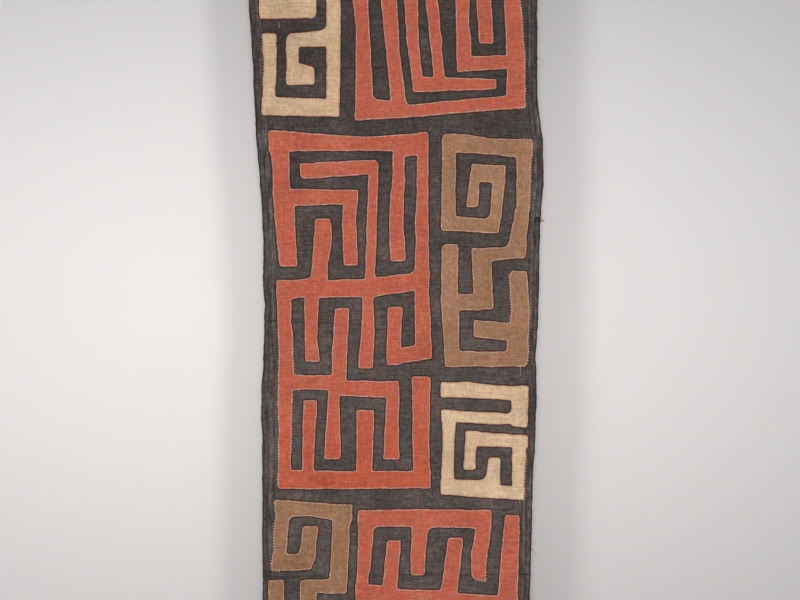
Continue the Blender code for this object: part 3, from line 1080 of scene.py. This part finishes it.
def streak_group(name):
    """Ribs and stray streaks that run with the threads: crosswise ones, and ones that run down."""
    tree, given, out = shader_group(
        name,
        (("Position", "Vector", None), ("Upright", "Float", 0.0)),
        (("Streaks", "Float"), ("Flecks", "Float"), ("Slubs", "Float")),
    )
    position, upright = given["Position"], given["Upright"]
    turned = maths(tree, "MULTIPLY", cloudy(tree, position, "ribs down"), upright)
    crosswise = maths(tree, "SUBTRACT", 1.0, upright)
    kept = maths(tree, "MULTIPLY", cloudy(tree, position, "ribs across"), crosswise)
    tree.links.new(ramped(tree, maths(tree, "ADD", turned, kept), 0.3, 0.7), out["Streaks"])
    tree.links.new(ramped(tree, cloudy(tree, position, "flecks"), 0.56, 0.72), out["Flecks"])
    slubs = [cloudy(tree, position, kind) for kind in ("slubs across", "slubs down")]
    both = maths(tree, "MULTIPLY", maths(tree, "ADD", *slubs), 0.5)
    tree.links.new(ramped(tree, both, 0.40, 0.60), out["Slubs"])
    return tree


def dye_group(name):
    """Uneven dye: broad pale and dark places, and small blotches, as one colour."""
    tree, given, out = shader_group(
        name,
        (
            ("Position", "Vector", None),
            ("Dye", "Color", (0.5, 0.5, 0.5, 1.0)),
            ("Worn", "Color", (0.7, 0.7, 0.7, 1.0)),
            ("Deep", "Color", (0.3, 0.3, 0.3, 1.0)),
            ("Unevenness", "Float", 0.5),
        ),
        (("Color", "Color"), ("Warm", "Float"), ("Green", "Float")),
    )
    position = given["Position"]
    broad = maths(tree, "MULTIPLY", cloudy(tree, position, "broad dye"), 0.6)
    small = maths(tree, "MULTIPLY", cloudy(tree, position, "small dye"), 0.4)
    both = maths(tree, "ADD", broad, small)
    pale = maths(tree, "MULTIPLY", ramped(tree, both, 0.48, 0.68), given["Unevenness"])
    deep = maths(tree, "MULTIPLY", ramped(tree, both, 0.50, 0.34), given["Unevenness"])
    colour = mix(tree, pale, given["Dye"], given["Worn"])
    colour = mix(tree, deep, colour, given["Deep"])
    tree.links.new(colour, out["Color"])
    for way in ("Warm", "Green"):
        patches = cloudy(tree, position, way.lower() + " dye")
        tree.links.new(ramped(tree, patches, 0.32, 0.68), out[way])
    return tree


def grouped(tree, name, build, inputs):
    """Places a shader group in a finish, and builds it the first time."""
    group = bpy.data.node_groups.get(name) or build(name)
    return place_node(tree, "ShaderNodeGroup", inputs, node_tree=group).outputs


def varied(tree, colour, value, strength, bite):
    """A colour made deeper where a value from 0 to 1 is low and paler where it is high."""
    deeper = tuple(1.0 - strength * share for share in bite) + (1.0,)
    paler = tuple(1.0 + strength * share for share in bite) + (1.0,)
    return mix(tree, 1.0, colour, mix(tree, value, deeper, paler), blend="MULTIPLY")


def shade(colour, share, lift=EVEN):
    return tuple(min(1.0, c * share * k) for c, k in zip(colour[:3], lift)) + (1.0,)


def hem_shading(tree, position, tint, colour):
    """A strip's dark roll, painted shade in the crease beside it, its paler inner part and its darker upper
    end.
    """
    inset = marked(tree, "inset")
    crease = HEM_CREASE * MM
    into = ramped(tree, inset, crease - 0.0028, crease)
    out_of = ramped(tree, inset, crease + 0.0028, crease)
    tint = varied(tree, tint, ramped(tree, height_of(tree, position), -0.45, -0.80), 0.12, EVEN)
    tint = varied(tree, tint, ramped(tree, inset, crease + 0.001, crease + 0.005), 0.10, EVEN)
    # Painted shade in the crease that the turned hem leaves
    crease_shade = maths(tree, "MULTIPLY", maths(tree, "MULTIPLY", into, out_of), 0.55)
    tint = mix(tree, crease_shade, tint, shade(colour, 0.5))
    return mix(tree, ramped(tree, inset, 0.0038, 0.0014), tint, shade(colour, 0.32))


def deeper_red(tree, position, tint):
    """Deeper red dye at the lower end of the middle motif."""
    start, full, end = DEEP_RED
    height = height_of(tree, position)
    above_end = maths(tree, "GREATER_THAN", height, end)
    where = maths(tree, "MULTIPLY", ramped(tree, height, start, full), above_end)
    return mix(tree, where, tint, mix(tree, 1.0, tint, DEEP_RED_TINT, "MULTIPLY"))


def new_finish(name, roughness=0.82, sheen=0.0):
    material = bpy.data.materials.new(name)
    material.use_nodes = True
    tree = material.node_tree
    tree.nodes.clear()
    shader = place_node(tree, "ShaderNodeBsdfPrincipled", {"Roughness": roughness, "Sheen Weight": sheen})
    shader.inputs["Specular IOR Level"].default_value = 0.25
    place_node(tree, "ShaderNodeOutputMaterial", {"Surface": shader.outputs[0]})
    position = place_node(tree, "ShaderNodeTexCoord").outputs["Object"]
    return material, tree, shader.inputs, position


def cloth_finish(
    name,
    colour,
    worn,
    deep,
    unevenness,
    streaks,
    flecks,
    slubs,
    pitch,
    bite=EVEN,
    drift=1.0,
    upright=0.0,
    cut=False,
    hemmed=False,
    reddened=False,
    tone_by_height=None,
):
    """Woven raffia of one dye, with painted shade on its skirt if it is cut, and a dark roll with painted
    shade in the crease beside it if it is hemmed.

    A tone by height is the height where it starts, the height where it ends and how much paler the cloth
    gets.
    """
    found = bpy.data.materials.get(name)
    if found:
        return found
    material, tree, shader, position = new_finish(name)
    inputs = {"Position": position, "Across Pitch": pitch[0], "Down Pitch": pitch[1]}
    weave = grouped(tree, "Raffia Weave", weave_group, inputs)
    ribs = grouped(tree, "Rib Streaks", streak_group, {"Position": position, "Upright": upright})
    inputs = {"Position": position, "Dye": shade(colour, 1.0), "Worn": worn, "Deep": deep}
    dye = grouped(tree, "Uneven Dye", dye_group, {**inputs, "Unevenness": unevenness})
    tint = mix(tree, maths(tree, "MULTIPLY", ribs["Flecks"], flecks), dye["Color"], worn)
    if tone_by_height:
        start, end, strength = tone_by_height
        tint = varied(tree, tint, ramped(tree, height_of(tree, position), start, end), strength, bite)
    # Random dye drifts, streaks, slubs and thread tones, and painted shade where the weave lies low between
    # its threads
    for value, strength, weights in (
        (dye["Warm"], drift, WARM_DRIFT),
        (dye["Green"], drift, GREEN_DRIFT),
        (ribs["Streaks"], streaks, bite),
        (ribs["Slubs"], slubs, bite),
        (weave["Thread Tone"], 0.14, bite),
        (ramped(tree, weave["Height"], 0.0, 0.5), 0.16, bite),
    ):
        tint = varied(tree, tint, value, strength, weights)
    # Painted shade on the skirt just outside a motif's turned edge
    if cut:
        under = ramped(tree, marked(tree, "inset"), -0.0004, -0.0012)
        tint = mix(tree, under, tint, shade(bpy.context.scene.raffia_colours.turned_edge_shade, 1.0))
    if reddened:
        tint = deeper_red(tree, position, tint)
    if hemmed:
        tint = hem_shading(tree, position, tint, colour)
    tree.links.new(tint, shader["Base Color"])
    relief = maths(tree, "ADD", weave["Height"], maths(tree, "MULTIPLY", ribs["Streaks"], 0.8))
    bump = place_node(tree, "ShaderNodeBump", {"Height": relief, "Strength": 0.55, "Distance": 0.0007})
    tree.links.new(bump.outputs[0], shader["Normal"])
    tree.links.new(ramped(tree, weave["Thread Tone"], 0.0, 1.0, 0.9, 0.72), shader["Roughness"])
    return material


def thread_finish(name):
    """Twisted raffia thread; each stitch has its own tone, with painted shade in the grooves of its twist.
    """
    found = bpy.data.materials.get(name)
    if found:
        return found
    colours = bpy.context.scene.raffia_colours
    colour = {
        "pale_thread": colours.thread,
        "dark_thread": colours.dark_thread,
        "seam_thread": colours.charcoal,
        "cream_thread": shade(colours.cream, 1.12, (1.0, 1.02, 1.2)),
        "red_thread": colours.terracotta,
        "rust_thread": shade(colours.terracotta, 0.32),
    }[name]
    material, tree, shader, position = new_finish(name, roughness=0.7)
    twist = cloudy(tree, position, "twist")
    tint = mix(tree, marked(tree, "tone"), shade(colour, 0.62), shade(colour, 1.12))
    tint = varied(tree, tint, cloudy(tree, position, "bleached"), 0.45, EVEN)
    soil = ramped(tree, cloudy(tree, position, "soil"), 0.5, 0.7, 0.0, 0.5)
    tint = mix(tree, soil, tint, shade(colour, 0.6))
    # Painted shade in the grooves of the twist
    tint = mix(tree, ramped(tree, twist, 0.5, 0.3, 0.0, 0.4), tint, shade(colour, 0.5))
    tree.links.new(tint, shader["Base Color"])
    bump = place_node(tree, "ShaderNodeBump", {"Height": twist, "Strength": 0.4, "Distance": 0.0004})
    tree.links.new(bump.outputs[0], shader["Normal"])
    return material


def ground_finish():
    colour = bpy.context.scene.raffia_colours.charcoal
    return cloth_finish(
        "charcoal_raffia",
        colour,
        shade(colour, 1.75, (1.05, 0.98, 0.95)),
        shade(colour, 0.62),
        unevenness=0.7,
        streaks=0.30,
        flecks=0.5,
        slubs=0.32,
        pitch=(0.0012, 0.0016),
        tone_by_height=(-0.40, -1.25, 0.20),
    )


def strip_finish():
    colour = bpy.context.scene.raffia_colours.charcoal
    return cloth_finish(
        "charcoal_ribbed_raffia",
        shade(colour, 1.1),
        shade(colour, 2.1),
        shade(colour, 0.6),
        unevenness=0.6,
        streaks=0.6,
        flecks=0.5,
        slubs=0.35,
        pitch=(0.0018, 0.0012),
        upright=1.0,
        hemmed=True,
    )


def terracotta_finish():
    colour = bpy.context.scene.raffia_colours.terracotta
    return cloth_finish(
        "terracotta_raffia",
        colour,
        shade(colour, 1.22, (0.98, 1.25, 1.35)),
        shade(colour, 0.66),
        unevenness=0.4,
        streaks=0.12,
        flecks=0.2,
        slubs=0.14,
        pitch=(0.0013, 0.0013),
        bite=(0.8, 1.5, 1.8),
        cut=True,
        reddened=True,
    )


def tan_finish():
    colour = bpy.context.scene.raffia_colours.tan
    return cloth_finish(
        "tan_raffia",
        colour,
        shade(colour, 1.28, (1.0, 1.05, 1.1)),
        shade(colour, 0.68),
        unevenness=0.6,
        streaks=0.10,
        flecks=0.3,
        slubs=0.18,
        pitch=(0.0013, 0.0013),
        bite=(0.9, 1.15, 1.4),
        drift=0.8,
        tone_by_height=(-0.70, -1.60, -0.06),
        cut=True,
    )


def cream_finish():
    colour = bpy.context.scene.raffia_colours.cream
    return cloth_finish(
        "cream_raffia",
        colour,
        shade(colour, 1.15, (1.0, 1.05, 1.1)),
        shade(colour, 0.72),
        unevenness=0.6,
        streaks=0.10,
        flecks=0.25,
        slubs=0.12,
        pitch=(0.0016, 0.0016),
        bite=(0.9, 1.1, 1.3),
        drift=0.4,
        tone_by_height=(-0.60, -1.20, 0.04),
        cut=True,
    )


FINISHES = {
    "ground": ground_finish,
    "strip": strip_finish,
    "terracotta": terracotta_finish,
    "tan": tan_finish,
    "cream": cream_finish,
}


# Stage


def painted_light_falloff(tree, position):
    """Painted light: a broad soft fall from the middle of a backdrop to its ends, down to the dimmest."""
    split = place_node(tree, "ShaderNodeSeparateXYZ", {0: position}).outputs
    aside = maths(tree, "ABSOLUTE", maths(tree, "MULTIPLY_ADD", split["X"], 0.86, 0.26))
    above = maths(tree, "ABSOLUTE", maths(tree, "MULTIPLY_ADD", split["Z"], 1.54, 1.57))
    squares = [maths(tree, "POWER", value, 2.0) for value in (aside, above)]
    spread = maths(tree, "MULTIPLY_ADD", maths(tree, "ADD", *squares), 0.22, 1.0)
    return maths(tree, "MAXIMUM", maths(tree, "DIVIDE", 1.0, spread), PAINTED_LIGHT_DARKEST)


def plain_finish(name, colour):
    """Smooth matt paint."""
    material, tree, shader, position = new_finish(name, roughness=0.95)
    cloud = ramped(tree, cloudy(tree, position, "paint"), 0.3, 0.7, 0.0, 0.25)
    tree.links.new(mix(tree, cloud, shade(colour, 1.0), shade(colour, 0.985)), shader["Base Color"])
    return material


def backdrop_finish(name, colour):
    """Paint with a painted fall of light towards its ends, which shows from its front alone and lets light
    from behind through.
    """
    material = plain_finish(name, colour)
    tree = material.node_tree
    paint = next(n for n in tree.nodes if n.type == "BSDF_PRINCIPLED")
    position = next(n for n in tree.nodes if n.type == "TEX_COORD").outputs["Object"]
    plain = paint.inputs["Base Color"].links[0].from_socket
    # Painted light: the backdrop's paint darkens towards its ends
    tint = mix(tree, 1.0, plain, painted_light_falloff(tree, position), blend="MULTIPLY")
    tree.links.new(tint, paint.inputs["Base Color"])
    seen = place_node(tree, "ShaderNodeLightPath").outputs["Is Camera Ray"]
    behind = place_node(tree, "ShaderNodeNewGeometry").outputs["Backfacing"]
    shown = maths(tree, "MULTIPLY", seen, maths(tree, "SUBTRACT", 1.0, behind))
    clear = place_node(tree, "ShaderNodeBsdfTransparent").outputs[0]
    both = place_node(tree, "ShaderNodeMixShader", {0: shown, 1: clear, 2: paint.outputs[0]}).outputs[0]
    end = next(n for n in tree.nodes if n.type == "OUTPUT_MATERIAL")
    tree.links.new(both, end.inputs["Surface"])
    return material


def flat_plate(name, corners, material):
    mesh = bpy.data.meshes.new(name)
    mesh.from_pydata(corners, [], [(0, 1, 2, 3)])
    mesh.materials.append(material)
    plate = new_piece(name, mesh)


def soft_light(name, place, size, power):
    """A soft rectangular lamp, aimed at the middle of the cloth."""
    lamp = bpy.data.lights.new(name, "AREA")
    lamp.shape = "RECTANGLE"
    lamp.size, lamp.size_y = size
    lamp.energy = power
    light = bpy.data.objects.new(name, lamp)
    light.location = place
    light.visible_camera = False
    light.rotation_euler = (Vector(MIDDLE) - Vector(place)).to_track_quat("-Z", "Y").to_euler()
    bpy.context.scene.collection.objects.link(light)


def photo_camera():
    """Straight ahead at the middle of the cloth."""
    width = bpy.context.scene.raffia_stage.view_width
    lens = bpy.data.cameras.new("camera")
    lens.lens = LENS
    lens.sensor_width = SENSOR
    camera = bpy.data.objects.new("camera", lens)
    camera.location = (CAMERA_X, -width * lens.lens / lens.sensor_width, CAMERA_Z)
    camera.rotation_euler = (math.pi / 2.0, 0.0, 0.0)
    bpy.context.scene.collection.objects.link(camera)
    bpy.context.scene.camera = camera


def pale_room(fill):
    """Even light from all sides, brighter where the camera sees it."""
    world = bpy.data.worlds.new("pale_room")
    world.use_nodes = True
    tree = world.node_tree
    back = next(n for n in tree.nodes if n.type == "BACKGROUND")
    back.inputs["Color"].default_value = ROOM
    seen = place_node(tree, "ShaderNodeLightPath").outputs["Is Camera Ray"]
    tree.links.new(maths(tree, "MULTIPLY_ADD", seen, ROOM_SEEN, fill), back.inputs["Strength"])
    bpy.context.scene.world = world


# Operators


class CLOTH_OT_edging(bpy.types.Operator):
    """Sew the pale edging round every motif, and its open whipping"""

    bl_idname = "raffia.edging"
    bl_label = "Add Edging"

    def execute(self, context):
        for seed, node in enumerate(MOTIFS, start=3):
            edging(node, seed)
        return {"FINISHED"}


class CLOTH_OT_seams(bpy.types.Operator):
    """Sew the seams, the hems, the mends, the joins and the stray ticks, and add the loose ends"""

    bl_idname = "raffia.seams"
    bl_label = "Add Seams and Mends"

    def execute(self, context):
        sew_rows("panel_seams", panel_seams())
        sew_rows("strip_seams", strip_seams())
        sew_rows("hem_stitches", hem_stitches())
        sew_rows("end_stitches", end_stitches())
        sew_rows("mends", mends())
        sew_rows("strip_joins", strip_joins())
        sew_rows("stray_ticks", ticks(TICK_ROWS))
        sew_rows("rust_ticks", ticks(RUST_ROWS))
        loose_ends("loose_dark_ends", "dark", "dark_thread")
        loose_ends("loose_pale_ends", "pale", "pale_thread")
        return {"FINISHED"}


class CLOTH_OT_panels(bpy.types.Operator):
    """Weave the panels of the ground"""

    bl_idname = "raffia.panels"
    bl_label = "Add Panels"

    def execute(self, context):
        for node in PANELS:
            name = "raffia_" + node
            stand_in(new_piece(name, panel_mesh(name, node)), node, ground_finish())
        return {"FINISHED"}


class CLOTH_OT_strips(bpy.types.Operator):
    """Add the ribbed side strips with their rolled hems"""

    bl_idname = "raffia.strips"
    bl_label = "Add Side Strips"

    def execute(self, context):
        for node in STRIPS:
            name = "raffia_" + node
            stand_in(new_piece(name, strip_mesh(name, node)), node, strip_finish())
        return {"FINISHED"}


class CLOTH_OT_motifs(bpy.types.Operator):
    """Cut the meander motifs and lay them on the ground"""

    bl_idname = "raffia.motifs"
    bl_label = "Add Motifs"

    def execute(self, context):
        for node in MOTIFS:
            name = "raffia_" + node
            piece = new_piece(name, motif_mesh(name, hand_cut(node)))
            stand_in(piece, node, FINISHES[slot_of(node)]())
        return {"FINISHED"}


class CLOTH_OT_stage(bpy.types.Operator):
    """Set up the camera, the soft light, the floor and the backdrop"""

    bl_idname = "raffia.stage"
    bl_label = "Add Stage"

    def execute(self, context):
        stage = context.scene.raffia_stage
        context.scene.view_settings.view_transform = "Standard"
        photo_camera()
        top, gap, side = WALL_TOP, stage.wall_gap, WALL_HALF
        wall = [(-side, gap, FLOOR), (side, gap, FLOOR), (side, gap, top), (-side, gap, top)]
        flat_plate("backdrop", wall, backdrop_finish("backdrop_paint", PALE_PAINT))
        side = FLOOR_HALF
        floor = [(-side, -side, FLOOR), (side, -side, FLOOR), (side, side, FLOOR), (-side, side, FLOOR)]
        flat_plate("floor", floor, plain_finish("floor_paint", PALE_PAINT))
        for name, place, size, share in LAMPS:
            soft_light(name, place, size, share * stage.key_power)
        pale_room(stage.fill)
        return {"FINISHED"}


OPERATORS = (
    CLOTH_OT_edging,
    CLOTH_OT_seams,
    CLOTH_OT_panels,
    CLOTH_OT_strips,
    CLOTH_OT_motifs,
    CLOTH_OT_stage,
)


class CLOTH_PT_panel(bpy.types.Panel):
    bl_idname = "CLOTH_PT_raffia"
    bl_label = "Raffia Cloth"
    bl_space_type = "VIEW_3D"
    bl_region_type = "UI"
    bl_category = "Raffia Cloth"

    def draw(self, context):
        for group in SETTINGS:
            box = self.layout.box()
            for name in SETTINGS[group].__annotations__:
                box.prop(getattr(context.scene, group), name)
        for operator in OPERATORS:
            self.layout.operator(operator.bl_idname)


SETTINGS = {
    "raffia_cloth": ClothSettings,
    "raffia_threads": ThreadSettings,
    "raffia_colours": ColourSettings,
    "raffia_stage": StageSettings,
}


def register():
    for name, group in SETTINGS.items():
        bpy.utils.register_class(group)
        setattr(bpy.types.Scene, name, bpy.props.PointerProperty(type=group))
    for item in (*OPERATORS, CLOTH_PT_panel):
        bpy.utils.register_class(item)


def unregister():
    for item in (CLOTH_PT_panel, *reversed(OPERATORS)):
        bpy.utils.unregister_class(item)
    for name, group in reversed(SETTINGS.items()):
        delattr(bpy.types.Scene, name)
        bpy.utils.unregister_class(group)


def main():
    register()
    for operator in OPERATORS:
        family, name = operator.bl_idname.split(".")
        getattr(getattr(bpy.ops, family), name)()


if __name__ == "__main__":
    main()
